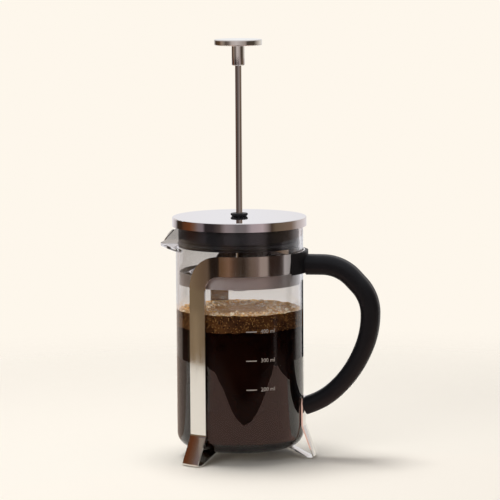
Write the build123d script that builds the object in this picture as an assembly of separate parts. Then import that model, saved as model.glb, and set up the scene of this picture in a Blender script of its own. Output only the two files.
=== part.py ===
from build123d import *
import math
import os

# A 0.6 litre french press: a glass beaker standing in a folded steel strip frame,
# a side handle, a lid, and a plunger with a coil-edged filter.
# Millimetres. The beaker's axis is vertical, the handle is on +X, the spout on -X
# and the feet stand on z = 0.

# --- beaker ---
GLASS_R = 43.0
GLASS_WALL = 1.8
GLASS_BOTTOM = 7.8
GLASS_FLOOR = 2.2
GLASS_RIM = 157.0
GLASS_CORNER_R = 9.5
SPOUT_REACH = 54.2
SPOUT_TIP_R = 4.5
SPOUT_LIP = [(-38.0, 157.0), (-43.5, 155.6), (-46.5, 152.9), (-49.0, 149.6), (-51.5, 146.6), (-54.2, 145.2)]
SPOUT_ROOT_Z = 141.4
SPOUT_TIP_Z = 143.2

# --- steel strip frame ---
STRIP_T = 1.0
STRIP_W = 13.4
BAND_INNER_R = 43.4
BAND_TOP = 141.2
CORNER_R = 23.5
LEG_AZIMUTH = 120.0
FRONT_CREASE_Z = 19.6
REAR_CREASE_Z = 22.5
FRONT_FOOT_R = 53.0
REAR_FOOT_R = 51.7
FOOT_PAD = 4.6
RETURN_R = 34.4
STRIP_END_R = 6.0
REAR_LEG_TOP = 41.5
CREASE_BEND_R = 5.0
FOOT_BEND_R = 1.0
PAD_BEND_R = 3.0
SEAT_BEND_R = 4.0

# --- base plate ---
BASE_PLATE_R = 18.0
BASE_PLATE_T = 1.0
RIVET_CIRCLE_R = 12.0
RIVET_R = 2.0

# --- handle ---
GRIP_TOP_HEIGHT = 13.4
GRIP_END_HEIGHT = 11.6
GRIP_WIDTH = 17.0
GRIP_EDGE_R = 5.6
GRIP_PATH = [
    (45.6, 131.8), (69.0, 131.8), (89.2, 110.4), (89.2, 86.0), (77.2, 58.8), (58.4, 40.6), (44.6, 35.4)
]
GRIP_BENDS = [28, 28, 60, 75, 50]
SADDLE_T = 2.2
SADDLE_LOW = 126.8
SADDLE_HIGH = 141.0
SADDLE_HALF_ANGLE = 28.5
SADDLE_CENTRE_X = 10.9
SCREW_R = 1.5
SCREW_HEAD_R = 2.7
SCREW_LENGTH = 9.0
SCREW_HEIGHTS = (131.8, 36.0)
INSERT_OUTER_R = 3.0
INSERT_SETBACK = 3.4
INSERT_LENGTH = 5.5

# --- lid ---
CAP_R = 45.3
CAP_BOTTOM = 157.6
CAP_TOP = 163.8
CAP_T = 0.8
CAP_EDGE_R = 0.7
INSERT_R = 44.2
INSERT_DISC_T = 2.4
SKIRT_R = 40.2
SKIRT_T = 3.0
SKIRT_BOTTOM = 143.8
SEAL_R = 40.9
SEAL_T = 1.7
SEAL_H = 2.2
SEAL_CLEARANCE = 0.3
BUSHING_R = 5.9
BUSHING_PROUD = 2.1
SHANK_R = 4.5
RUNNING_FIT = 0.05

# --- plunger ---
ROD_R = 2.2
KNOB_R = 16.1
KNOB_T = 3.9
KNOB_EDGE_R = 0.6
KNOB_TOP = 282.9
FERRULE_R = 4.4
FERRULE_BOTTOM = 265.4
FILTER_BOTTOM = 118.0
PLATE_T = 0.8
MESH_T = 0.35
FILTER_R = 40.8
FILTER_RIM_TOP = 127.3
SPRING_MAJOR_R = 37.3
SPRING_COIL_R = 2.8
NUT_H = 4.5

BAND_OUTER_R = BAND_INNER_R + STRIP_T
BAND_MID_R = BAND_INNER_R + STRIP_T / 2
GLASS_INNER_R = GLASS_R - GLASS_WALL
STRIP_SEAT_Z = GLASS_BOTTOM - 0.2


def turned(*points):
    """Solid of revolution about the beaker's axis from (radius, height) points."""
    return revolve(Plane.XZ * make_face(Polyline(*points, close=True)), Axis.Z)


def ring(inner, outer, low, high):
    return turned((inner, low), (outer, low), (outer, high), (inner, high))


def ring_sector(inner, outer, low, high, start, arc):
    """Part of a ring that runs from the azimuth start through arc degrees."""
    outline = Polyline((inner, low), (outer, low), (outer, high), (inner, high), close=True)
    return Rot(0, 0, start) * revolve(Plane.XZ * make_face(outline), Axis.Z, arc)


def side_prism(points, half_width):
    """Outline in x and z, extruded both ways along y."""
    return extrude(Plane.XZ * make_face(Polyline(*points, close=True)), half_width, both=True)


def along_x(height, *outline):
    """Solid turned about a line that runs outward along X at the given height."""
    return Pos(0, 0, height) * Rot(0, 90, 0) * turned(*outline)


def x_pin(height, radius, low, high):
    return along_x(height, (0, low), (radius, low), (radius, high), (0, high))


# --- beaker -----------------------------------------------------------------

def spout_plan(wall):
    """Plan outline of the spout: the two tangents from the beaker's wall to a small round tip."""
    big = GLASS_R - wall
    small = SPOUT_TIP_R - wall
    tip_x = SPOUT_REACH - SPOUT_TIP_R
    lean = math.acos((GLASS_R - SPOUT_TIP_R) / tip_x)
    root = (-big * math.cos(lean), big * math.sin(lean))
    shoulder = (-tip_x - small * math.cos(lean), small * math.sin(lean))
    sides = [
        Line(root, shoulder),
        ThreePointArc(shoulder, (-tip_x - small, 0), (shoulder[0], -shoulder[1])),
        Line((shoulder[0], -shoulder[1]), (root[0], -root[1])),
        Line((root[0], -root[1]), root),
    ]
    return make_face(sides)


def spout_body(wall):
    """The spout's volume with a sloping underside, raised by wall for the inner surface."""
    column = Pos(0, 0, SPOUT_ROOT_Z - 5) * extrude(spout_plan(wall), GLASS_RIM - SPOUT_ROOT_Z + 15)
    root_z = SPOUT_ROOT_Z + wall
    tip_z = SPOUT_TIP_Z + wall
    underside = [
        (0, root_z), (-GLASS_R, root_z), (-SPOUT_REACH, tip_z), (-70, tip_z + 2), (-70, 100), (0, 100)
    ]
    below = side_prism(underside, 50)
    return column - below


def glass_beaker():
    outer = Pos(0, 0, (GLASS_BOTTOM + GLASS_RIM) / 2) * Cylinder(GLASS_R, GLASS_RIM - GLASS_BOTTOM)
    outer = fillet(outer.edges().sort_by(Axis.Z)[0], GLASS_CORNER_R)
    floor_z = GLASS_BOTTOM + GLASS_FLOOR
    inner = Pos(0, 0, (floor_z + GLASS_RIM + 10) / 2) * Cylinder(GLASS_INNER_R, GLASS_RIM + 10 - floor_z)
    inner = fillet(inner.edges().sort_by(Axis.Z)[0], GLASS_CORNER_R - GLASS_WALL)
    lip_drop = SPOUT_LIP + [(-70, SPOUT_LIP[-1][1] - 5), (-70, 200), (SPOUT_LIP[0][0], 200)]
    above_rim = Pos(0, 0, GLASS_RIM + 20) * Box(200, 200, 40)
    return outer + spout_body(0) - inner - spout_body(GLASS_WALL) - side_prism(lip_drop, 50) - above_rim


# --- strip frame ------------------------------------------------------------

def leg(top_z, crease_z, foot_r):
    """One folded strip on +X: down the beaker, out to the foot, back in under the beaker."""
    route = FilletPolyline(
        (BAND_MID_R, top_z),
        (BAND_MID_R, crease_z),
        (foot_r, STRIP_T / 2),
        (foot_r - FOOT_PAD, STRIP_T / 2),
        (RETURN_R, STRIP_SEAT_Z - STRIP_T / 2),
        (STRIP_END_R, STRIP_SEAT_Z - STRIP_T / 2),
        radius=[CREASE_BEND_R, FOOT_BEND_R, PAD_BEND_R, SEAT_BEND_R],
    )
    shell = revolve(Plane.XZ * trace(route, STRIP_T), Axis.Z)
    keep = Pos(STRIP_END_R + foot_r / 2, 0, top_z / 2) * Box(foot_r, STRIP_W, top_z + 20)
    return shell & keep - strip_holes()


def band_corner():
    """The wide bend where the band turns down into the leg at +LEG_AZIMUTH."""
    leg_half = math.degrees(math.asin(STRIP_W / 2 / BAND_MID_R))
    half_span = math.degrees(math.asin(CORNER_R / 2 / BAND_MID_R))
    middle = LEG_AZIMUTH + leg_half - half_span
    centre = (-CORNER_R / 2, BAND_TOP - CORNER_R)
    outline = Pos(*centre) * (Circle(CORNER_R) - Circle(CORNER_R - STRIP_W))
    outline = outline & Pos(0, BAND_TOP - CORNER_R / 2) * Rectangle(CORNER_R, CORNER_R)
    outward = Vector(1, 0, 0).rotate(Axis.Z, middle)
    facing = Plane((0, 0, 0), x_dir=outward.rotate(Axis.Z, 90), z_dir=outward)
    blade = extrude(facing * outline, 2 * BAND_OUTER_R)
    return blade & ring(BAND_INNER_R, BAND_OUTER_R, 100, BAND_TOP), middle - half_span


def front_frame():
    """The band and the two front legs, cut and folded from one strip."""
    corner, band_end = band_corner()
    band = ring_sector(BAND_INNER_R, BAND_OUTER_R, BAND_TOP - STRIP_W, BAND_TOP, -band_end, 2 * band_end)
    side = corner + Rot(0, 0, LEG_AZIMUTH) * leg(BAND_TOP - CORNER_R, FRONT_CREASE_Z, FRONT_FOOT_R)
    return band + side + mirror(side, Plane.XZ) - screw_holes()


def rear_leg():
    return leg(REAR_LEG_TOP, REAR_CREASE_Z, REAR_FOOT_R) - screw_holes()


def base_plate():
    top = STRIP_SEAT_Z - STRIP_T
    disc = Pos(0, 0, top - BASE_PLATE_T / 2) * Cylinder(BASE_PLATE_R, BASE_PLATE_T)
    return disc - strip_holes()


def strip_holes():
    """Rivet holes under the beaker, one in each strip."""
    hole = Cylinder(RIVET_R + 0.05, 3 * STRIP_SEAT_Z)
    return [place * hole for place in PolarLocations(RIVET_CIRCLE_R, 3)]


def base_rivets():
    """Three rivets, flush on top and domed below."""
    head = Cylinder(RIVET_R + 1.5, 1.0)
    head = fillet(head.edges().sort_by(Axis.Z)[0], 0.7)
    low = STRIP_SEAT_Z - STRIP_T - BASE_PLATE_T
    rivet = Pos(0, 0, low - 0.5) * head
    rivet += Pos(0, 0, (low + STRIP_SEAT_Z) / 2) * Cylinder(RIVET_R, STRIP_SEAT_Z - low)
    return Compound(children=[place * rivet for place in PolarLocations(RIVET_CIRCLE_R, 3)])


# --- handle -----------------------------------------------------------------

def saddle_outer():
    radius = BAND_OUTER_R + SADDLE_T - SADDLE_CENTRE_X
    return Pos(SADDLE_CENTRE_X, 0, (SADDLE_LOW + SADDLE_HIGH) / 2) * Cylinder(radius, 60)


def handle_saddle():
    """Crescent that hugs the band and widens the handle's upper seat."""
    half = SADDLE_HALF_ANGLE
    sector = ring_sector(BAND_OUTER_R + 0.1, 60, SADDLE_LOW, SADDLE_HIGH, -half, 2 * half)
    return (sector & saddle_outer()) - x_pin(SCREW_HEIGHTS[0], SCREW_R + 0.1, 0, 60)


def grip_section(height):
    return RectangleRounded(height, GRIP_WIDTH, GRIP_EDGE_R)


def handle_grip():
    """D-shaped grip, swept along its centre line and slightly thinner at its lower end."""
    points = [(x, 0, z) for x, z in GRIP_PATH]
    route = FilletPolyline(*points, radius=GRIP_BENDS)
    start = Plane(points[0], x_dir=(0, 0, 1), z_dir=route % 0) * grip_section(GRIP_TOP_HEIGHT)
    end_dir = route % 1
    end_x = Vector(0, 1, 0).cross(end_dir)
    end = Plane(points[-1], x_dir=end_x * -1, z_dir=end_dir) * grip_section(GRIP_END_HEIGHT)
    grip = sweep([start, end], path=route, multisection=True)
    grip -= saddle_outer() & Pos(0, 0, BAND_TOP) * Box(200, 200, 60)
    grip -= Pos(0, 0, GRIP_PATH[-1][1]) * Cylinder(BAND_OUTER_R + 0.1, 40)
    for height in SCREW_HEIGHTS:
        grip -= x_pin(height, SCREW_R + 0.1, 0, BAND_INNER_R + SCREW_LENGTH + 1)
        grip -= insert_blank(height)
    return grip


def insert_blank(height):
    low = BAND_OUTER_R + INSERT_SETBACK
    return x_pin(height, INSERT_OUTER_R, low, low + INSERT_LENGTH)


def handle_inserts():
    """Two threaded inserts moulded into the grip's ends."""
    inserts = [insert_blank(z) - x_pin(z, SCREW_R + 0.05, 0, 60) for z in SCREW_HEIGHTS]
    return Compound(children=inserts)


def handle_screws():
    """Two countersunk screws from inside the strip, flush with it."""
    low = BAND_INNER_R + 0.1
    high = low + SCREW_LENGTH
    outline = [(0, low), (SCREW_HEAD_R, low), (SCREW_R, BAND_OUTER_R), (SCREW_R, high), (0, high)]
    return Compound(children=[along_x(z, *outline) for z in SCREW_HEIGHTS])


def screw_holes():
    low = BAND_INNER_R + 0.1
    outline = [
        (0, 30), (SCREW_HEAD_R + 0.1, 30), (SCREW_HEAD_R + 0.1, low), (SCREW_R + 0.1, BAND_OUTER_R),
        (SCREW_R + 0.1, 50), (0, 50)
    ]
    return [along_x(z, *outline) for z in SCREW_HEIGHTS]


# --- lid --------------------------------------------------------------------

def lid_cap():
    """Pressed steel cover with a rolled shoulder."""
    hole = SHANK_R + 0.1
    outline = [
        (hole, CAP_TOP), (CAP_R, CAP_TOP), (CAP_R, CAP_BOTTOM), (CAP_R - CAP_T, CAP_BOTTOM),
        (CAP_R - CAP_T, CAP_TOP - CAP_T), (hole, CAP_TOP - CAP_T)
    ]
    cap = turned(*outline)
    outer = cap.edges().filter_by(GeomType.CIRCLE).filter_by(lambda e: abs(e.radius - CAP_R) < 0.01)
    rim = outer.sort_by(Axis.Z)[-1]
    return fillet(rim, CAP_EDGE_R)


def lid_insert():
    """Moulded disc under the cover, with a skirt that has strainer slots towards the spout."""
    seat = GLASS_RIM + 0.3
    disc_top = seat + INSERT_DISC_T
    hole = SHANK_R + RUNNING_FIT
    outline = [
        (hole, seat), (SKIRT_R - SKIRT_T, seat), (SKIRT_R - SKIRT_T, SKIRT_BOTTOM), (SKIRT_R, SKIRT_BOTTOM),
        (SKIRT_R, seat), (INSERT_R, seat), (INSERT_R, disc_top), (12, disc_top), (12, CAP_TOP - CAP_T),
        (hole, CAP_TOP - CAP_T)
    ]
    body = turned(*outline)
    low, high = seal_groove()
    body -= ring(SEAL_R - SEAL_T - SEAL_CLEARANCE, SKIRT_R + 1, low, high)
    slot = Pos(-SKIRT_R, 0, (high + 1.5 + seat - 1.5) / 2) * Box(12, 2, seat - high - 3)
    for turn in range(-20, 21, 5):
        body -= Rot(0, 0, turn) * slot
    return body


def seal_groove():
    low = SKIRT_BOTTOM + 0.8
    return low, low + SEAL_H + 2 * SEAL_CLEARANCE


def lid_seal():
    low = seal_groove()[0] + SEAL_CLEARANCE
    middle = low + SEAL_H / 2
    inner = SEAL_R - SEAL_T
    high = low + SEAL_H
    return turned((inner, low), (SEAL_R - 0.8, low), (SEAL_R, middle), (SEAL_R - 0.8, high), (inner, high))


def rod_bushing():
    flange = CAP_TOP + 0.05
    top = CAP_TOP + BUSHING_PROUD
    bore = ROD_R + RUNNING_FIT
    return turned(
        (bore, GLASS_RIM - 2.7), (SHANK_R, GLASS_RIM - 2.7), (SHANK_R, flange), (BUSHING_R - 0.9, flange),
        (BUSHING_R, top - 0.9), (BUSHING_R, top - 0.4), (BUSHING_R - 0.4, top), (bore, top)
    )


def bushing_nut():
    return ring(SHANK_R, SHANK_R + 3.5, GLASS_RIM - 2.5, GLASS_RIM - 0.1)


# --- plunger ----------------------------------------------------------------

def plunger_rod():
    low = FILTER_BOTTOM - NUT_H - 0.5
    high = KNOB_TOP - KNOB_T + 1.5
    rod = Pos(0, 0, (low + high) / 2) * Cylinder(ROD_R, high - low)
    return chamfer(rod.edges().sort_by(Axis.Z)[0], 0.5)


def knob_disc():
    disc = Pos(0, 0, KNOB_TOP - KNOB_T / 2) * Cylinder(KNOB_R, KNOB_T)
    disc = fillet(disc.edges(), KNOB_EDGE_R)
    hole_top = KNOB_TOP - KNOB_T + 1.5
    return disc - Pos(0, 0, hole_top - 5) * Cylinder(ROD_R, 10)


def knob_ferrule():
    top = KNOB_TOP - KNOB_T
    return turned(
        (ROD_R, FERRULE_BOTTOM), (FERRULE_R - 0.5, FERRULE_BOTTOM), (FERRULE_R, FERRULE_BOTTOM + 0.5),
        (FERRULE_R, top - 0.6), (FERRULE_R + 0.6, top), (ROD_R, top)
    )


def rod_collar():
    low = FILTER_BOTTOM + PLATE_T + MESH_T + PLATE_T
    return turned((ROD_R, low), (5.0, low), (5.0, low + 4.5), (3.4, low + 6), (ROD_R, low + 6))


def spiral_plate():
    """Dished plate that presses the screen down and carries the coil on its sloping rim."""
    low = FILTER_BOTTOM + PLATE_T + MESH_T
    rim = SPRING_MAJOR_R - SPRING_COIL_R - 0.4
    plate = turned(
        (ROD_R, low), (rim - 4, low), (rim, FILTER_RIM_TOP - 0.8), (rim - 0.9, FILTER_RIM_TOP - 0.8),
        (rim - 4.6, low + PLATE_T), (ROD_R, low + PLATE_T)
    )
    for circle_r, count in ((11, 8), (17, 14), (23, 20)):
        for place in PolarLocations(circle_r, count):
            plate -= Pos(0, 0, low) * place * Cylinder(1.7, 4)
    return plate


def filter_spring():
    middle = FILTER_BOTTOM + PLATE_T + MESH_T + SPRING_COIL_R + 0.3
    return Pos(0, 0, middle) * Torus(SPRING_MAJOR_R, SPRING_COIL_R)


def filter_mesh():
    low = FILTER_BOTTOM + PLATE_T
    return turned(
        (ROD_R, low), (FILTER_R, low), (FILTER_R, FILTER_RIM_TOP), (FILTER_R - MESH_T, FILTER_RIM_TOP),
        (FILTER_R - MESH_T, low + MESH_T), (ROD_R, low + MESH_T)
    )


def cross_plate():
    """Flat ring and hub joined by four arms, under the screen."""
    plate = ring(ROD_R, 35, FILTER_BOTTOM, FILTER_BOTTOM + PLATE_T)
    window = ring(10, 29, FILTER_BOTTOM - 1, FILTER_BOTTOM + 2)
    arms = Box(80, 9, 20) + Box(9, 80, 20)
    return plate - (window - Pos(0, 0, FILTER_BOTTOM) * arms)


def filter_nut():
    nut = Pos(0, 0, FILTER_BOTTOM - NUT_H) * extrude(RegularPolygon(6.0, 6), NUT_H)
    return nut - Pos(0, 0, FILTER_BOTTOM) * Cylinder(ROD_R, 20)


PARTS = [
    glass_beaker, front_frame, rear_leg, base_plate, base_rivets, handle_saddle, handle_grip,
    handle_inserts, handle_screws, lid_cap, lid_insert, lid_seal, rod_bushing,
    bushing_nut, plunger_rod, knob_disc, knob_ferrule, rod_collar, spiral_plate, filter_spring,
    filter_mesh, cross_plate, filter_nut
]

os.makedirs("parts", exist_ok=True)
shapes = {make.__name__: make() for make in PARTS}
boxes = [shape.bounding_box() for shape in shapes.values()]
middle_x = (min(box.min.X for box in boxes) + max(box.max.X for box in boxes)) / 2
print("beaker axis at x =", round(-middle_x, 4))
for name, shape in shapes.items():
    export_step(Pos(-middle_x, 0, 0) * shape, f"parts/{name}.step")
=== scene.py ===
import bpy
import math
import random
from mathutils import Matrix, Vector, noise


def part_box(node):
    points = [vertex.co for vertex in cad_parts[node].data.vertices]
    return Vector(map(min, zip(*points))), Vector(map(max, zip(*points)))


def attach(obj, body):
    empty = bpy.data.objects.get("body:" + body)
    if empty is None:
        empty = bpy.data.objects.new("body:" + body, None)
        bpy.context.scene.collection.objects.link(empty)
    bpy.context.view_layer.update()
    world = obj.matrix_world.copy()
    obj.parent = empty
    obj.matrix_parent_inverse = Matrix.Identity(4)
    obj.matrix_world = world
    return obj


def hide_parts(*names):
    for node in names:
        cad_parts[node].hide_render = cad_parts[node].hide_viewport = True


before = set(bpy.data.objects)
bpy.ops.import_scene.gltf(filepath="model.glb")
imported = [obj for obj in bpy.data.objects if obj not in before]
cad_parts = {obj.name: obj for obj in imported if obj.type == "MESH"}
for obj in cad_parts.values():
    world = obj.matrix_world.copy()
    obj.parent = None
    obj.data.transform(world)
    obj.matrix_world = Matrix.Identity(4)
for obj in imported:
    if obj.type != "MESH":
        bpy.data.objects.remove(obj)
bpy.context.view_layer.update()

MM = 0.001

# ---------------------------------------------------------------- places read from the CAD parts
rod_low, rod_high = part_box("plunger_rod")
AXIS_X = (rod_low.x + rod_high.x) / 2
glass_low, glass_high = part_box("glass_beaker")
GLASS_R = (glass_high.y - glass_low.y) / 2
GLASS_WALL = 1.8 * MM
GLASS_FLOOR = 2.2 * MM
GLASS_CORNER_R = 9.5 * MM
BEAKER_BOTTOM = glass_low.z
INNER_R = GLASS_R - GLASS_WALL
INNER_FLOOR = BEAKER_BOTTOM + GLASS_FLOOR

# The drink overlaps the glass wall by WET, so that no film of air shows between them.
WET = 0.1 * MM
SURFACE_Z = 100.6 * MM
COFFEE_TOP = SURFACE_Z - 2 * MM
CRUST_DEPTH = 10.6 * MM
CRUST_TOP_T = 1.6 * MM
CRUST_SIDE_T = 0.6 * MM
BUBBLES = 520
BUBBLE_SEED = 11

MARK_AZIMUTH = math.radians(-80)
MARK_HEIGHTS = (("200 ml", 52), ("300 ml", 71.5), ("400 ml", 91))
MARK_LIFT = 0.02 * MM
TEXT_SIZE = 3.8 * MM
TEXT_START = 14.2 * MM
DASH_MIDDLE = 7.9 * MM
DASH_LENGTH = 7.2 * MM
DASH_WIDTH = 0.62 * MM

COIL_TURNS = 118
COIL_WIRE_R = 0.38 * MM
COIL_LEAN = math.radians(9)
spring_low, spring_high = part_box("filter_spring")


# ---------------------------------------------------------------- modelling helpers
def clear_selection():
    bpy.ops.object.select_all(action="DESELECT")


def start_vertex(name, point):
    """A new piece that is a single vertex, ready to be extruded."""
    clear_selection()
    bpy.ops.mesh.primitive_plane_add(size=MM, location=point)
    piece = bpy.context.active_object
    piece.name = name
    bpy.ops.object.transform_apply(location=True, rotation=True, scale=True)
    bpy.ops.object.mode_set(mode="EDIT")
    bpy.ops.mesh.select_all(action="SELECT")
    bpy.ops.mesh.merge(type="CENTER")
    return piece


def spun(name, profile, steps=128):
    """Closed turned piece about the beaker's axis, from (radius, height) points."""
    points = [Vector((AXIS_X + r, 0, z)) for r, z in profile]
    piece = start_vertex(name, points[0])
    for here, there in zip(points, points[1:]):
        bpy.ops.mesh.extrude_region_move(TRANSFORM_OT_translate={"value": there - here})
    bpy.ops.mesh.select_all(action="SELECT")
    bpy.ops.mesh.spin(steps=steps, angle=2 * math.pi, center=(AXIS_X, 0, 0), axis=(0, 0, 1))
    bpy.ops.mesh.select_all(action="SELECT")
    bpy.ops.mesh.remove_doubles(threshold=0.01 * MM)
    bpy.ops.mesh.normals_make_consistent(inside=False)
    bpy.ops.object.mode_set(mode="OBJECT")
    return piece


def corner(centre_r, centre_z, radius, start, end, steps=8):
    """Points of a round corner in the (radius, height) plane, between two angles in degrees."""
    turns = [math.radians(start + (end - start) * i / steps) for i in range(steps + 1)]
    return [(centre_r + radius * math.cos(t), centre_z + radius * math.sin(t)) for t in turns]


def smooth(piece, angle=30):
    clear_selection()
    piece.select_set(True)
    bpy.context.view_layer.objects.active = piece
    bpy.ops.object.shade_smooth_by_angle(angle=math.radians(angle))


def joined(name, parts):
    """Several meshes made one piece, with its place in its mesh."""
    clear_selection()
    for part in parts:
        part.select_set(True)
    bpy.context.view_layer.objects.active = parts[0]
    bpy.ops.object.join()
    piece = bpy.context.active_object
    piece.name = name
    bpy.ops.object.transform_apply(location=True, rotation=True, scale=True)
    return piece


def copies(pattern, places):
    """One copy of a small modelled shape at each matrix, with its own mesh. The pattern is removed."""
    made = []
    for place in places:
        copy = pattern.copy()
        copy.data = pattern.data.copy()
        copy.data.transform(place)
        bpy.context.collection.objects.link(copy)
        made.append(copy)
    bpy.data.objects.remove(pattern)
    return made


# ---------------------------------------------------------------- shader helpers
def group(name, inputs, outputs):
    tree = bpy.data.node_groups.new(name, "ShaderNodeTree")
    for label, kind, value in inputs:
        socket = tree.interface.new_socket(label, in_out="INPUT", socket_type=kind)
        socket.default_value = value
    for label, kind in outputs:
        tree.interface.new_socket(label, in_out="OUTPUT", socket_type=kind)
    return tree, tree.nodes.new("NodeGroupInput"), tree.nodes.new("NodeGroupOutput")


def node(tree, kind, values=(), **settings):
    made = tree.nodes.new(kind)
    for key, value in settings.items():
        setattr(made, key, value)
    for key, value in dict(values).items():
        made.inputs[key].default_value = value
    return made


def math_node(tree, operation, a, b=None, clamp=False):
    made = node(tree, "ShaderNodeMath", operation=operation, use_clamp=clamp)
    for socket, value in zip(made.inputs, (a, b)):
        if value is None:
            continue
        if isinstance(value, (int, float)):
            socket.default_value = value
        else:
            tree.links.new(value, socket)
    return made.outputs[0]


def mixed(tree, factor, a, b):
    """Colour mix; factor, a and b are each a socket or a plain value."""
    made = node(tree, "ShaderNodeMix", data_type="RGBA")
    for index, value in ((0, factor), (6, a), (7, b)):
        if hasattr(value, "is_linked"):
            tree.links.new(value, made.inputs[index])
        else:
            made.inputs[index].default_value = value
    return made.outputs[2]


def ramp(tree, factor, low, high):
    """0 below low, 1 above high, straight between."""
    made = node(tree, "ShaderNodeMapRange", {"From Min": low, "From Max": high})
    tree.links.new(factor, made.inputs["Value"])
    return made.outputs[0]


def object_place(tree):
    return node(tree, "ShaderNodeTexCoord").outputs["Object"]


def clouds(tree, scale, detail):
    """Soft uneven patches over the surface, as one value."""
    made = node(tree, "ShaderNodeTexNoise", {"Scale": scale, "Detail": detail})
    tree.links.new(object_place(tree), made.inputs["Vector"])
    return made.outputs[0]


def rgba(red, green, blue):
    return (red, green, blue, 1)


def material(name, **sockets):
    """A new material with a Principled shader; constant numbers go straight on its sockets."""
    made = bpy.data.materials.new(name)
    made.use_nodes = True
    shader = made.node_tree.nodes["Principled BSDF"]
    for key, value in sockets.items():
        shader.inputs[key.replace("_", " ")].default_value = value
    return made, made.node_tree, shader


def grain_group():
    """Fine drawn grain and faint smears of metal: a roughness and a normal that vary over the surface."""
    tree, given, out = group(
        "drawn_grain",
        [("Stretch", "NodeSocketVector", (1, 1, 1)), ("Fineness", "NodeSocketFloat", 900),
         ("Smoothest", "NodeSocketFloat", 0.08), ("Roughest", "NodeSocketFloat", 0.2),
         ("Relief", "NodeSocketFloat", 0.1)],
        [("Roughness", "NodeSocketFloat"), ("Normal", "NodeSocketVector")],
    )
    place = object_place(tree)
    along = node(tree, "ShaderNodeVectorMath", operation="MULTIPLY")
    tree.links.new(place, along.inputs[0])
    tree.links.new(given.outputs["Stretch"], along.inputs[1])
    lines = node(tree, "ShaderNodeTexNoise", {"Detail": 3})
    tree.links.new(along.outputs[0], lines.inputs["Vector"])
    tree.links.new(given.outputs["Fineness"], lines.inputs["Scale"])
    smears = node(tree, "ShaderNodeTexNoise", {"Scale": 38, "Detail": 4, "Roughness": 0.6})
    tree.links.new(place, smears.inputs["Vector"])
    share = math_node(tree, "MULTIPLY", lines.outputs[0], smears.outputs[0])
    share = ramp(tree, share, 0.1, 0.45)
    span = math_node(tree, "SUBTRACT", given.outputs["Roughest"], given.outputs["Smoothest"])
    rough = math_node(tree, "ADD", math_node(tree, "MULTIPLY", share, span), given.outputs["Smoothest"])
    tree.links.new(rough, out.inputs["Roughness"])
    bump = node(tree, "ShaderNodeBump", {"Distance": 0.02 * MM})
    tree.links.new(given.outputs["Relief"], bump.inputs["Strength"])
    tree.links.new(lines.outputs[0], bump.inputs["Height"])
    tree.links.new(bump.outputs[0], out.inputs["Normal"])
    return tree


CELL_REACH = 0.42                    # how far a cell's colour reaches from its centre, in cells


def grits_group():
    """Scattered cells of uneven size: a mask, a second random value for each cell, and a normal."""
    tree, given, out = group(
        "scattered_cells",
        [("Fineness", "NodeSocketFloat", 400), ("Share", "NodeSocketFloat", 0.3),
         ("Relief", "NodeSocketFloat", 0.5)],
        [("Mask", "NodeSocketFloat"), ("Random", "NodeSocketFloat"), ("Normal", "NodeSocketVector")],
    )
    place = object_place(tree)
    cells = node(tree, "ShaderNodeTexVoronoi", feature="F1")
    tree.links.new(place, cells.inputs["Vector"])
    tree.links.new(given.outputs["Fineness"], cells.inputs["Scale"])
    tint = node(tree, "ShaderNodeSeparateColor")
    tree.links.new(cells.outputs["Color"], tint.inputs[0])
    inside = math_node(tree, "LESS_THAN", cells.outputs["Distance"], CELL_REACH)
    chosen = math_node(tree, "LESS_THAN", tint.outputs[0], given.outputs["Share"])
    tree.links.new(math_node(tree, "MULTIPLY", inside, chosen), out.inputs["Mask"])
    tree.links.new(tint.outputs[1], out.inputs["Random"])
    bump = node(tree, "ShaderNodeBump", {"Distance": 0.5 * MM}, invert=True)
    tree.links.new(given.outputs["Relief"], bump.inputs["Strength"])
    tree.links.new(cells.outputs["Distance"], bump.inputs["Height"])
    tree.links.new(bump.outputs[0], out.inputs["Normal"])
    return tree


def weave_group():
    """Woven wire about the beaker's axis: wires along the rim and across it, over and under."""
    tree, given, out = group(
        "woven_wire",
        [("Pitch", "NodeSocketFloat", 0.5 * MM)],
        [("Wire", "NodeSocketFloat"), ("Normal", "NodeSocketVector")],
    )
    place = object_place(tree)
    parts = node(tree, "ShaderNodeSeparateXYZ")
    tree.links.new(place, parts.inputs[0])
    from_axis = math_node(tree, "SUBTRACT", parts.outputs[0], AXIS_X)
    turn = math_node(tree, "ARCTAN2", parts.outputs[1], from_axis)
    around = math_node(tree, "MULTIPLY", turn, INNER_R)
    radius = math_node(tree, "SQRT", math_node(
        tree, "ADD", math_node(tree, "POWER", from_axis, 2), math_node(tree, "POWER", parts.outputs[1], 2)))
    across = math_node(tree, "ADD", radius, parts.outputs[2])
    waves = []
    for along in (around, across):
        turns = math_node(tree, "DIVIDE", along, given.outputs["Pitch"])
        wave = math_node(tree, "SINE", math_node(tree, "MULTIPLY", turns, 2 * math.pi))
        waves.append(math_node(tree, "ABSOLUTE", wave))
    height = math_node(tree, "MAXIMUM", *waves)
    tree.links.new(ramp(tree, height, 0.5, 0.95), out.inputs["Wire"])
    bump = node(tree, "ShaderNodeBump", {"Distance": 0.2 * MM, "Strength": 0.6})
    tree.links.new(height, bump.inputs["Height"])
    tree.links.new(bump.outputs[0], out.inputs["Normal"])
    return tree


GRAIN = grain_group()
GRITS = grits_group()
WEAVE = weave_group()


def placed_group(tree, which, **values):
    made = node(tree, "ShaderNodeGroup", node_tree=which)
    for key, value in values.items():
        made.inputs[key].default_value = value
    return made


# ---------------------------------------------------------------- materials
def grained(tree, shader, **values):
    """Links the shared grain's roughness and normal into a shader."""
    grain = placed_group(tree, GRAIN, **values)
    tree.links.new(grain.outputs["Roughness"], shader.inputs["Roughness"])
    tree.links.new(grain.outputs["Normal"], shader.inputs["Normal"])


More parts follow.
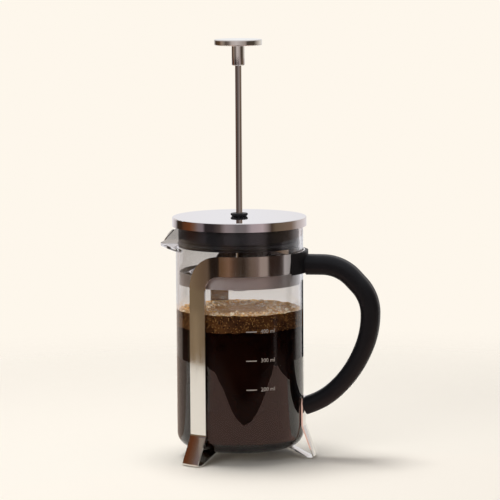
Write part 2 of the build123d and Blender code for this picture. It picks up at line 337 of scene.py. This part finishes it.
def metal(name, colour, smoothest, roughest, stretch, fineness=900, relief=0.1):
    made, tree, shader = material(name, Metallic=1.0, Base_Color=rgba(*colour))
    grained(tree, shader, Stretch=stretch, Fineness=fineness, Smoothest=smoothest, Roughest=roughest,
            Relief=relief)
    return made


def moulded(name, colour, specular, fineness, smoothest, roughest, relief):
    made, tree, shader = material(name, Base_Color=rgba(*colour), Specular_IOR_Level=specular)
    grained(tree, shader, Stretch=(1, 1, 1), Fineness=fineness, Smoothest=smoothest, Roughest=roughest,
            Relief=relief)
    return made


def clear_glass():
    made, tree, shader = material(
        "beaker_glass_clear", Base_Color=rgba(0.965, 0.96, 0.975), Transmission_Weight=1.0, IOR=1.47)
    grain = placed_group(tree, GRAIN, Stretch=(1, 1, 0.5), Fineness=60, Smoothest=0.0, Roughest=0.02,
                         Relief=0.0)
    tree.links.new(grain.outputs["Roughness"], shader.inputs["Roughness"])
    return made


def coffee_liquid():
    made, tree, shader = material("coffee_liquid", Roughness=0.1, Specular_IOR_Level=0.08)
    share = ramp(tree, clouds(tree, 30, 3), 0.35, 0.7)
    colour = mixed(tree, share, rgba(0.0035, 0.0006, 0.0002), rgba(0.008, 0.002, 0.0008))
    tree.links.new(colour, shader.inputs["Base Color"])
    return made


def crust():
    """Wet grounds on the side, foam on top."""
    made, tree, shader = material("crust_of_grounds", Roughness=0.45, Specular_IOR_Level=0.1)
    grits = placed_group(tree, GRITS, Fineness=700, Share=0.3, Relief=0.7)
    fine = placed_group(tree, GRITS, Fineness=1500, Share=0.18, Relief=0.5)
    patches = clouds(tree, 110, 4)
    share = ramp(tree, patches, 0.4, 0.65)
    grounds = mixed(tree, share, rgba(0.04, 0.013, 0.002), rgba(0.095, 0.036, 0.007))
    grounds = mixed(tree, grits.outputs["Mask"], grounds, rgba(0.012, 0.004, 0.001))
    grounds = mixed(tree, fine.outputs["Mask"], grounds, rgba(0.36, 0.18, 0.055))
    foam = mixed(tree, ramp(tree, patches, 0.35, 0.7), rgba(0.66, 0.31, 0.07), rgba(0.86, 0.56, 0.22))
    foam = mixed(tree, grits.outputs["Mask"], foam, rgba(0.95, 0.78, 0.48))
    facing = node(tree, "ShaderNodeNewGeometry")
    up = node(tree, "ShaderNodeSeparateXYZ")
    tree.links.new(facing.outputs["Normal"], up.inputs[0])
    surface = mixed(tree, ramp(tree, up.outputs[2], 0.3, 0.7), grounds, foam)
    tree.links.new(surface, shader.inputs["Base Color"])
    tree.links.new(grits.outputs["Normal"], shader.inputs["Normal"])
    return made


def foam_skin():
    made, tree, shader = material("foam_skin", Roughness=0.25, Specular_IOR_Level=0.3)
    share = ramp(tree, clouds(tree, 240, 2), 0.35, 0.65)
    skin = mixed(tree, share, rgba(0.8, 0.47, 0.15), rgba(0.97, 0.88, 0.68))
    tree.links.new(skin, shader.inputs["Base Color"])
    return made


def screen_wire():
    made, tree, shader = material("screen_wire", Metallic=1.0, Roughness=0.34)
    weave = placed_group(tree, WEAVE, Pitch=0.55 * MM)
    wires = mixed(tree, weave.outputs["Wire"], rgba(0.28, 0.27, 0.26), rgba(0.62, 0.6, 0.58))
    tree.links.new(wires, shader.inputs["Base Color"])
    tree.links.new(weave.outputs["Normal"], shader.inputs["Normal"])
    return made


def print_ink():
    made, tree, shader = material("print_ink", Roughness=0.5)
    worn = ramp(tree, clouds(tree, 900, 2), 0.3, 0.6)
    ink = mixed(tree, worn, rgba(0.26, 0.22, 0.19), rgba(0.5, 0.45, 0.41))
    tree.links.new(ink, shader.inputs["Base Color"])
    return made


STRIP_STEEL = metal("strip_steel", (0.72, 0.7, 0.67), 0.04, 0.12, (1, 1, 0.05), 900, 0.06)
LID_STEEL = metal("lid_steel", (0.86, 0.85, 0.86), 0.02, 0.07, (1, 1, 1), 700, 0.03)
ROD_STEEL = metal("rod_steel", (0.68, 0.66, 0.6), 0.03, 0.06, (1, 1, 0.04), 2000, 0.0)
KNOB_STEEL = metal("knob_steel", (0.66, 0.63, 0.6), 0.03, 0.08, (1, 1, 4), 500, 0.02)
FILTER_STEEL = metal("filter_steel", (0.66, 0.64, 0.62), 0.18, 0.35, (1, 1, 1), 600)
INSERT_BRASS = metal("insert_brass", (0.72, 0.54, 0.26), 0.2, 0.4, (1, 1, 1), 600)
BLACK = moulded("moulded_black", (0.006, 0.006, 0.0075), 0.22, 1500, 0.4, 0.6, 0.6)
SEAL = moulded("seal_rubber", (0.01, 0.01, 0.01), 0.3, 900, 0.3, 0.5, 0.4)
GLASS = clear_glass()
COFFEE = coffee_liquid()
CRUST = crust()
FOAM = foam_skin()
SCREEN = screen_wire()
INK = print_ink()

FINISHES = {
    STRIP_STEEL: ["front_frame", "rear_leg", "base_plate", "base_rivets"],
    LID_STEEL: ["lid_cap"],
    ROD_STEEL: ["plunger_rod", "handle_screws", "rod_collar", "filter_nut"],
    KNOB_STEEL: ["knob_disc", "knob_ferrule"],
    FILTER_STEEL: ["spiral_plate", "cross_plate"],
    INSERT_BRASS: ["handle_inserts"],
    BLACK: ["handle_saddle", "handle_grip", "lid_insert", "rod_bushing", "bushing_nut"],
    SEAL: ["lid_seal"],
    GLASS: ["glass_beaker"],
    SCREEN: ["filter_mesh"],
}


def dress(piece, finish):
    piece.data.materials.clear()
    piece.data.materials.append(finish)
    return piece


for finish, names in FINISHES.items():
    for name in names:
        dress(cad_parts[name], finish)


# ---------------------------------------------------------------- the drink
def drink_floor(radius, low, bend):
    return [(0, low)] + corner(radius - bend, low + bend, bend, -90, 0)


def make_coffee():
    radius = INNER_R + WET
    low = INNER_FLOOR - WET
    floor_bend = drink_floor(radius, low, GLASS_CORNER_R - GLASS_WALL)
    profile = floor_bend + [(radius, COFFEE_TOP), (0, COFFEE_TOP)]
    piece = spun("coffee", profile)
    smooth(piece, 40)
    return piece


def make_crust():
    """An upturned thin cup of grounds and foam that caps the coffee."""
    radius = INNER_R + 1.2 * WET
    low = SURFACE_Z - CRUST_DEPTH
    inner = radius - CRUST_SIDE_T
    under = SURFACE_Z - CRUST_TOP_T
    rows, rings = 6, 24
    side = [(radius, low + (SURFACE_Z - low) * i / rows) for i in range(rows + 1)]
    top = [(radius * (1 - i / rings), SURFACE_Z) for i in range(1, rings + 1)]
    profile = side + top + [(0, under), (inner, under), (inner, low), (radius, low)]
    piece = spun("crust", profile, 192)
    for vertex in piece.data.vertices:
        spot = vertex.co
        swell = noise.noise(spot * 160) * 0.7 + noise.noise(spot * 420) * 0.4
        from_axis = math.hypot(spot.x - AXIS_X, spot.y)
        if spot.z > SURFACE_Z - MM:
            rise = 0.9 * MM * max(0.0, from_axis / INNER_R - 0.9) * 10
            spot.z += swell * 0.8 * MM + rise
        elif spot.z < low + 2.5 * MM:
            spot.z += swell * 1.6 * MM
    smooth(piece, 50)
    return piece


def make_bubbles():
    """Foam bubbles of many sizes, crowded towards the glass."""
    dice = random.Random(BUBBLE_SEED)
    clear_selection()
    bpy.ops.mesh.primitive_uv_sphere_add(segments=8, ring_count=6, radius=1.0)
    pattern = bpy.context.active_object
    places = []
    for _ in range(BUBBLES):
        size = dice.choice((0.35, 0.5, 0.5, 0.7, 0.9, 1.3)) * dice.uniform(0.8, 1.2) * MM
        reach = (INNER_R - size) * dice.uniform(0.15, 1.0) ** 0.45
        turn = dice.uniform(0, 2 * math.pi)
        height = SURFACE_Z + size * dice.uniform(0.1, 0.5)
        spot = Vector((AXIS_X + reach * math.cos(turn), reach * math.sin(turn), height))
        places.append(Matrix.Translation(spot) @ Matrix.Diagonal((size, size, size * 0.8, 1)))
    piece = joined("foam_bubbles", copies(pattern, places))
    smooth(piece, 180)
    return piece


def make_marks():
    """Volume marks printed on the glass: a dash and its number, each bent round the beaker."""
    skin = GLASS_R + MARK_LIFT
    parts = []
    for label, height in MARK_HEIGHTS:
        clear_selection()
        bpy.ops.object.text_add(location=(0, 0, 0))
        text = bpy.context.active_object
        text.data.body = label
        text.data.size = TEXT_SIZE
        text.data.align_y = "CENTER"
        text.data.resolution_u = 3
        bpy.ops.object.convert(target="MESH")
        text = bpy.context.active_object
        text.data.transform(Matrix.Translation((TEXT_START, 0, 0)))
        clear_selection()
        bpy.ops.mesh.primitive_plane_add(size=1)
        dash = bpy.context.active_object
        stretched = Matrix.Diagonal((DASH_LENGTH, DASH_WIDTH, 1, 1))
        dash.data.transform(Matrix.Translation((DASH_MIDDLE, 0, 0)) @ stretched)
        bpy.ops.object.mode_set(mode="EDIT")
        bpy.ops.mesh.select_all(action="SELECT")
        bpy.ops.mesh.subdivide(number_cuts=8)
        bpy.ops.object.mode_set(mode="OBJECT")
        mark = joined("mark", [text, dash])
        for vertex in mark.data.vertices:
            turn = MARK_AZIMUTH + vertex.co.x / skin
            up = height * MM + vertex.co.y
            vertex.co = Vector((AXIS_X + skin * math.cos(turn), skin * math.sin(turn), up))
        parts.append(mark)
    return joined("printed_marks", parts)


# ---------------------------------------------------------------- the filter's coil
def make_coil():
    """The coil spring round the filter's edge, one wire turn after another."""
    centre_z = (spring_low.z + spring_high.z) / 2
    coil_r = (spring_high.z - spring_low.z) / 2
    ring_r = (spring_high.x - spring_low.x) / 2 - coil_r
    clear_selection()
    bpy.ops.mesh.primitive_torus_add(
        major_radius=coil_r - COIL_WIRE_R, minor_radius=COIL_WIRE_R, major_segments=14, minor_segments=4)
    turn_pattern = bpy.context.active_object
    centre = Matrix.Translation((AXIS_X, 0, centre_z))
    outward = Matrix.Translation((ring_r, 0, 0))
    upright = Matrix.Rotation(math.radians(90), 4, "X") @ Matrix.Rotation(COIL_LEAN, 4, "Y")
    places = []
    for index in range(COIL_TURNS):
        round_axis = Matrix.Rotation(2 * math.pi * index / COIL_TURNS, 4, "Z")
        places.append(centre @ round_axis @ outward @ upright)
    piece = joined("filter_coil", copies(turn_pattern, places))
    smooth(piece, 180)
    return piece


coffee = dress(make_coffee(), COFFEE)
crust_cap = dress(make_crust(), CRUST)
bubbles = dress(make_bubbles(), FOAM)
marks = dress(make_marks(), INK)
coil = dress(make_coil(), FILTER_STEEL)

for piece in (coffee, crust_cap, bubbles, marks):
    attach(piece, "beaker")
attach(coil, "plunger")
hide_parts("filter_spring")


# ---------------------------------------------------------------- camera
CAMERA_AZIMUTH = math.radians(10.45)
CAMERA_AWAY = 1.944
CAMERA_HEIGHT = 0.378
AIM_HEIGHT = 0.1407
AIM_RIGHT = 0.0071
CAMERA_ROLL = math.radians(-0.37)
LENS = 208.8
SENSOR = 36
TO_CAMERA = Vector((math.sin(CAMERA_AZIMUTH), -math.cos(CAMERA_AZIMUTH), 0))
TO_RIGHT = Vector((math.cos(CAMERA_AZIMUTH), math.sin(CAMERA_AZIMUTH), 0))
AXIS = Vector((AXIS_X, 0, 0))


def make_camera():
    data = bpy.data.cameras.new("camera")
    data.lens = LENS
    data.sensor_width = SENSOR
    camera = bpy.data.objects.new("camera", data)
    bpy.context.collection.objects.link(camera)
    spot = AXIS + TO_CAMERA * CAMERA_AWAY + Vector((0, 0, CAMERA_HEIGHT))
    aim = AXIS + TO_RIGHT * AIM_RIGHT + Vector((0, 0, AIM_HEIGHT))
    ahead = (aim - spot).normalized()
    level = ahead.cross(Vector((0, 0, 1))).normalized()
    tilt = Matrix.Rotation(CAMERA_ROLL, 3, -ahead)
    side = tilt @ level
    up = side.cross(ahead)
    camera.matrix_world = Matrix.Translation(spot) @ Matrix((side, up, -ahead)).transposed().to_4x4()
    data.clip_start = 0.05
    data.clip_end = 60
    bpy.context.scene.camera = camera


# ---------------------------------------------------------------- room, lights and floor
BACKDROP = rgba(0.991, 0.93, 0.838)
ROOM = rgba(0.95, 0.945, 0.97)
MIRRORED_STRENGTH = 0.9
FILL_STRENGTH = 0.26
FLOOR_SIZE = 6
FLOOR_FADE_START = 0.25
FLOOR_FADE_END = 0.6


def make_world():
    world = bpy.data.worlds.new("room")
    bpy.context.scene.world = world
    world.use_nodes = True
    tree = world.node_tree
    tree.nodes.clear()
    seen = node(tree, "ShaderNodeBackground", {"Color": BACKDROP, "Strength": 1.0})
    mirrored = node(tree, "ShaderNodeBackground", {"Color": ROOM, "Strength": MIRRORED_STRENGTH})
    fill = node(tree, "ShaderNodeBackground", {"Color": ROOM, "Strength": FILL_STRENGTH})
    paths = node(tree, "ShaderNodeLightPath")
    by_diffuse = node(tree, "ShaderNodeMixShader")
    by_camera = node(tree, "ShaderNodeMixShader")
    out = node(tree, "ShaderNodeOutputWorld")
    tree.links.new(paths.outputs["Is Diffuse Ray"], by_diffuse.inputs[0])
    tree.links.new(mirrored.outputs[0], by_diffuse.inputs[1])
    tree.links.new(fill.outputs[0], by_diffuse.inputs[2])
    tree.links.new(paths.outputs["Is Camera Ray"], by_camera.inputs[0])
    tree.links.new(by_diffuse.outputs[0], by_camera.inputs[1])
    tree.links.new(seen.outputs[0], by_camera.inputs[2])
    tree.links.new(by_camera.outputs[0], out.inputs[0])


def make_floor():
    """Pale floor that fades into the backdrop away from the object."""
    clear_selection()
    bpy.ops.mesh.primitive_plane_add(size=FLOOR_SIZE, location=(0, 0, 0))
    floor = bpy.context.active_object
    floor.name = "floor"
    made = bpy.data.materials.new("floor_paper")
    made.use_nodes = True
    tree = made.node_tree
    shader = tree.nodes["Principled BSDF"]
    shader.inputs["Base Color"].default_value = rgba(0.97, 0.915, 0.82)
    shader.inputs["Roughness"].default_value = 0.9
    shader.inputs["Specular IOR Level"].default_value = 0.1
    place = object_place(tree)
    distance = node(tree, "ShaderNodeVectorMath", operation="LENGTH")
    tree.links.new(place, distance.inputs[0])
    reach = {"From Min": FLOOR_FADE_START, "From Max": FLOOR_FADE_END, "To Min": 1.0, "To Max": 0.0}
    fade = node(tree, "ShaderNodeMapRange", reach, interpolation_type="SMOOTHSTEP")
    tree.links.new(distance.outputs["Value"], fade.inputs["Value"])
    paths = node(tree, "ShaderNodeLightPath")
    unseen = math_node(tree, "SUBTRACT", 1, paths.outputs["Is Camera Ray"])
    keep = math_node(tree, "MAXIMUM", fade.outputs[0], unseen)
    tree.links.new(keep, shader.inputs["Alpha"])
    floor.data.materials.append(made)


LAMP_AIM = 0.12


def add_area(name, spot, size, power):
    data = bpy.data.lights.new(name, "AREA")
    data.shape = "RECTANGLE"
    data.size, data.size_y = size
    data.energy = power
    lamp = bpy.data.objects.new(name, data)
    bpy.context.collection.objects.link(lamp)
    lamp.location = spot
    lamp.visible_glossy = False
    ahead = AXIS + Vector((0, 0, LAMP_AIM)) - Vector(spot)
    lamp.rotation_euler = ahead.to_track_quat("-Z", "Y").to_euler()


# The room that steel and glass mirror: rings round the press that only reflections can see, one above
# the other. Each has its lowest and highest height in millimetres, then its colours. A colour stands at
# an angle in degrees from the camera's direction, positive to its right, and blends into the next.
RING_R = 0.45
OPEN_ROOM = (0.86, 0.85, 0.87)
RINGS = {
    "room_at_the_knob": (245, 330, [
        (-180, (0.95, 0.95, 0.96)), (-150, (0.6, 0.55, 0.5)), (-136, (0.07, 0.045, 0.03)),
        (-100, (0.14, 0.08, 0.045)), (-85, (0.4, 0.3, 0.24)), (-72, (0.32, 0.27, 0.23)),
        (-60, (0.12, 0.09, 0.075)), (-44, (0.24, 0.2, 0.18)), (-30, (0.62, 0.55, 0.53)),
        (-8, (0.72, 0.66, 0.65)), (20, (0.5, 0.44, 0.42)), (34, (0.45, 0.38, 0.35)),
        (44, (0.09, 0.07, 0.055)), (82, (0.1, 0.08, 0.06)), (104, (0.55, 0.5, 0.45)),
        (126, (0.9, 0.86, 0.8)), (180, (0.95, 0.95, 0.96)),
    ]),
    "room_at_the_lid": (100, 245, [
        (-180, OPEN_ROOM), (-152, (0.8, 0.74, 0.75)), (-136, (0.5, 0.45, 0.45)),
        (-127, (0.04, 0.026, 0.018)), (-113, (0.04, 0.02, 0.012)), (-107, (0.09, 0.034, 0.016)),
        (-90, (0.14, 0.045, 0.017)), (-80, (0.16, 0.085, 0.055)), (-71, (0.2, 0.155, 0.155)),
        (-63, (0.2, 0.16, 0.17)), (-58, (0.028, 0.022, 0.022)), (-44, (0.03, 0.023, 0.024)),
        (-32, (0.085, 0.064, 0.058)), (-22, (0.27, 0.22, 0.22)), (-12, (0.26, 0.22, 0.22)),
        (-4, (0.17, 0.15, 0.15)), (10, (0.19, 0.16, 0.16)), (20, (0.4, 0.33, 0.34)),
        (38, (0.46, 0.37, 0.375)), (47, (0.25, 0.2, 0.19)), (54, (0.06, 0.04, 0.028)),
        (62, (0.13, 0.093, 0.062)), (96, (0.2, 0.137, 0.1)), (104, (0.3, 0.24, 0.21)),
        (114, (0.5, 0.43, 0.41)), (140, (0.72, 0.65, 0.64)), (180, OPEN_ROOM),
    ]),
    "room_at_the_band": (62, 100, [
        (-180, OPEN_ROOM), (-128, (0.5, 0.42, 0.36)), (-100, (0.26, 0.18, 0.11)),
        (-64, (0.15, 0.095, 0.06)), (-56, (0.14, 0.09, 0.06)), (-49, (0.02, 0.012, 0.008)),
        (-38, (0.02, 0.012, 0.009)), (-29, (0.15, 0.08, 0.042)), (-18, (0.22, 0.12, 0.075)),
        (-9, (0.09, 0.048, 0.03)), (0, (0.055, 0.036, 0.025)), (8, (0.04, 0.024, 0.016)),
        (20, (0.16, 0.11, 0.085)), (30, (0.19, 0.13, 0.11)), (35, (0.36, 0.28, 0.25)),
        (46, (0.36, 0.28, 0.25)), (51, (0.035, 0.02, 0.015)), (70, (0.03, 0.018, 0.015)),
        (78, (0.1, 0.08, 0.075)), (82, (0.46, 0.42, 0.42)), (98, (0.32, 0.3, 0.3)), (128, OPEN_ROOM),
        (180, OPEN_ROOM),
    ]),
    "room_at_the_legs": (0, 43, [
        (-180, OPEN_ROOM), (-162, (0.8, 0.68, 0.6)), (-127, (0.6, 0.49, 0.41)),
        (-121, (0.05, 0.03, 0.02)), (-108, (0.05, 0.03, 0.02)), (-102, (0.22, 0.15, 0.09)),
        (-80, (0.3, 0.215, 0.13)), (-62, (0.2, 0.14, 0.085)), (-57, (0.01, 0.006, 0.005)),
        (60, (0.01, 0.006, 0.005)), (62, (0.3, 0.25, 0.24)), (65, (0.3, 0.25, 0.24)),
        (68, (0.01, 0.006, 0.005)), (112, (0.02, 0.012, 0.01)), (122, (0.7, 0.66, 0.62)),
        (180, OPEN_ROOM),
    ]),
    "room_at_the_coffee": (43, 62, [
        (-180, OPEN_ROOM), (-128, (0.5, 0.42, 0.36)), (-100, (0.24, 0.17, 0.1)),
        (-64, (0.2, 0.14, 0.085)), (-56, (0.3, 0.26, 0.25)), (-20, (0.5, 0.46, 0.46)),
        (60, (0.6, 0.56, 0.56)), (180, OPEN_ROOM),
    ]),
}


def only_in_reflections(card):
    card.visible_camera = False
    card.visible_diffuse = False
    card.visible_shadow = False


def glowing(name, colour):
    """A glowing material that shows only after a reflection, so the cards are never seen straight
    through the glass. Its tree and its glow come back too, so that a pattern can be linked in."""
    made = bpy.data.materials.new(name)
    made.use_nodes = True
    tree = made.node_tree
    tree.nodes.clear()
    glow = node(tree, "ShaderNodeEmission", {"Color": rgba(*colour), "Strength": 1.0})
    unseen = node(tree, "ShaderNodeBsdfTransparent")
    paths = node(tree, "ShaderNodeLightPath")
    mix = node(tree, "ShaderNodeMixShader")
    out = node(tree, "ShaderNodeOutputMaterial")
    tree.links.new(math_node(tree, "GREATER_THAN", paths.outputs["Glossy Depth"], 0.5), mix.inputs[0])
    tree.links.new(unseen.outputs[0], mix.inputs[1])
    tree.links.new(glow.outputs[0], mix.inputs[2])
    tree.links.new(mix.outputs[0], out.inputs[0])
    return made, tree, glow


def make_ring(name, low, high, stops):
    clear_selection()
    bpy.ops.mesh.primitive_cylinder_add(
        vertices=128, radius=RING_R, depth=(high - low) * MM, end_fill_type="NOTHING",
        location=(AXIS_X, 0, (low + high) / 2 * MM))
    card = bpy.context.active_object
    card.name = name
    made, tree, glow = glowing(name, OPEN_ROOM)
    place = object_place(tree)
    sides = []
    for direction in (TO_RIGHT, TO_CAMERA):
        dot = node(tree, "ShaderNodeVectorMath", operation="DOT_PRODUCT")
        tree.links.new(place, dot.inputs[0])
        dot.inputs[1].default_value = direction
        sides.append(dot.outputs["Value"])
    turn = math_node(tree, "ARCTAN2", *sides)
    share = ramp(tree, turn, -math.pi, math.pi)
    bands = node(tree, "ShaderNodeValToRGB")
    tree.links.new(share, bands.inputs[0])
    marks = bands.color_ramp.elements
    for mark, (angle, colour) in zip(marks, (stops[0], stops[-1])):
        mark.color = rgba(*colour)
    for angle, colour in stops[1:-1]:
        marks.new((angle + 180) / 360).color = rgba(*colour)
    tree.links.new(bands.outputs[0], glow.inputs["Color"])
    card.data.materials.append(made)
    only_in_reflections(card)


def around(turn):
    """The level direction at an angle from the camera's direction, in radians, positive to its right."""
    return TO_CAMERA * math.cos(turn) + TO_RIGHT * math.sin(turn)


def floor_card(name, height, outline, colour):
    """Flat card just above the floor. Its outline is (angle in degrees, distance from the glass) points."""
    clear_selection()
    bpy.ops.mesh.primitive_circle_add(vertices=len(outline), radius=0.1, fill_type="NGON")
    card = bpy.context.active_object
    card.name = name
    for vertex, (angle, distance) in zip(card.data.vertices, outline):
        spot = around(math.radians(angle)) * (distance * MM + GLASS_R)
        vertex.co = Vector((AXIS_X, 0, height * MM)) + spot
    card.data.materials.append(glowing(name, colour)[0])
    only_in_reflections(card)


EDGE_CARD_ANGLES = (152, 172)
EDGE_CARD_AWAY = 0.13
EDGE_CARD_HEIGHTS = (48, 104)
DARK_EDGE = (0.01, 0.008, 0.008)


def side_card():
    """Dark upright card close behind the press on its right, which draws the dark edge of the glass."""
    clear_selection()
    bpy.ops.mesh.primitive_plane_add(size=1)
    card = bpy.context.active_object
    card.name = "dark_edge_card"
    feet = []
    for angle in EDGE_CARD_ANGLES:
        turn = math.radians(angle)
        feet.append(AXIS + around(turn / 2) * GLASS_R + around(turn) * EDGE_CARD_AWAY)
    corners = [foot + Vector((0, 0, z * MM)) for z in EDGE_CARD_HEIGHTS for foot in feet]
    for vertex, spot in zip(card.data.vertices, corners):
        vertex.co = spot
    card.data.materials.append(glowing("dark_edge_card", DARK_EDGE)[0])
    only_in_reflections(card)


DARK_TABLE = (0.012, 0.007, 0.006)
BROWN_TABLE = (0.95, 0.62, 0.52)
PALE_BROWN_TABLE = (0.6, 0.47, 0.39)
TABLE_NEAR = 16
TABLE_FAR = 405
ARC_STEP = 6


def table_arc(start, end):
    """Outline of a wide ring part of the floor between two angles from the camera's direction."""
    angles = range(start, end + 1, ARC_STEP)
    return [(angle, TABLE_NEAR) for angle in angles] + [(angle, TABLE_FAR) for angle in reversed(angles)]


def back_edge(start, end):
    """The outer edge of a dark card, ten degrees at a time, from one angle down to the other."""
    return [(angle, TABLE_FAR) for angle in range(start, end - 1, -10)]


make_camera()
make_world()
make_floor()
for name, (low, high, stops) in RINGS.items():
    make_ring(name, low, high, stops)
floor_card("dark_table_ahead", 0.6, [
    (-60, TABLE_FAR), (-44, 380), (-28, 300), (-16, 222), (-4, 168), (5, 150), (14, 160), (32, 222),
    (45, 300),
] + back_edge(60, -50), DARK_TABLE)
floor_card("dark_table_right", 0.6, [
    (68, TABLE_FAR), (84, 345), (94, 320), (102, 350),
] + back_edge(110, 80), DARK_TABLE)
floor_card("brown_table_ahead", 0.3, table_arc(-54, 90), BROWN_TABLE)
floor_card("brown_table_left", 0.3, table_arc(-164, -110), PALE_BROWN_TABLE)
side_card()
add_area("softbox_above", (-0.14, 0.12, 1.3), (0.5, 0.5), 12.4)
add_area("softbox_front", (-0.5, -1.3, 0.62), (0.9, 0.7), 6)
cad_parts["glass_beaker"].visible_shadow = False
bpy.context.scene.view_settings.view_transform = "Standard"
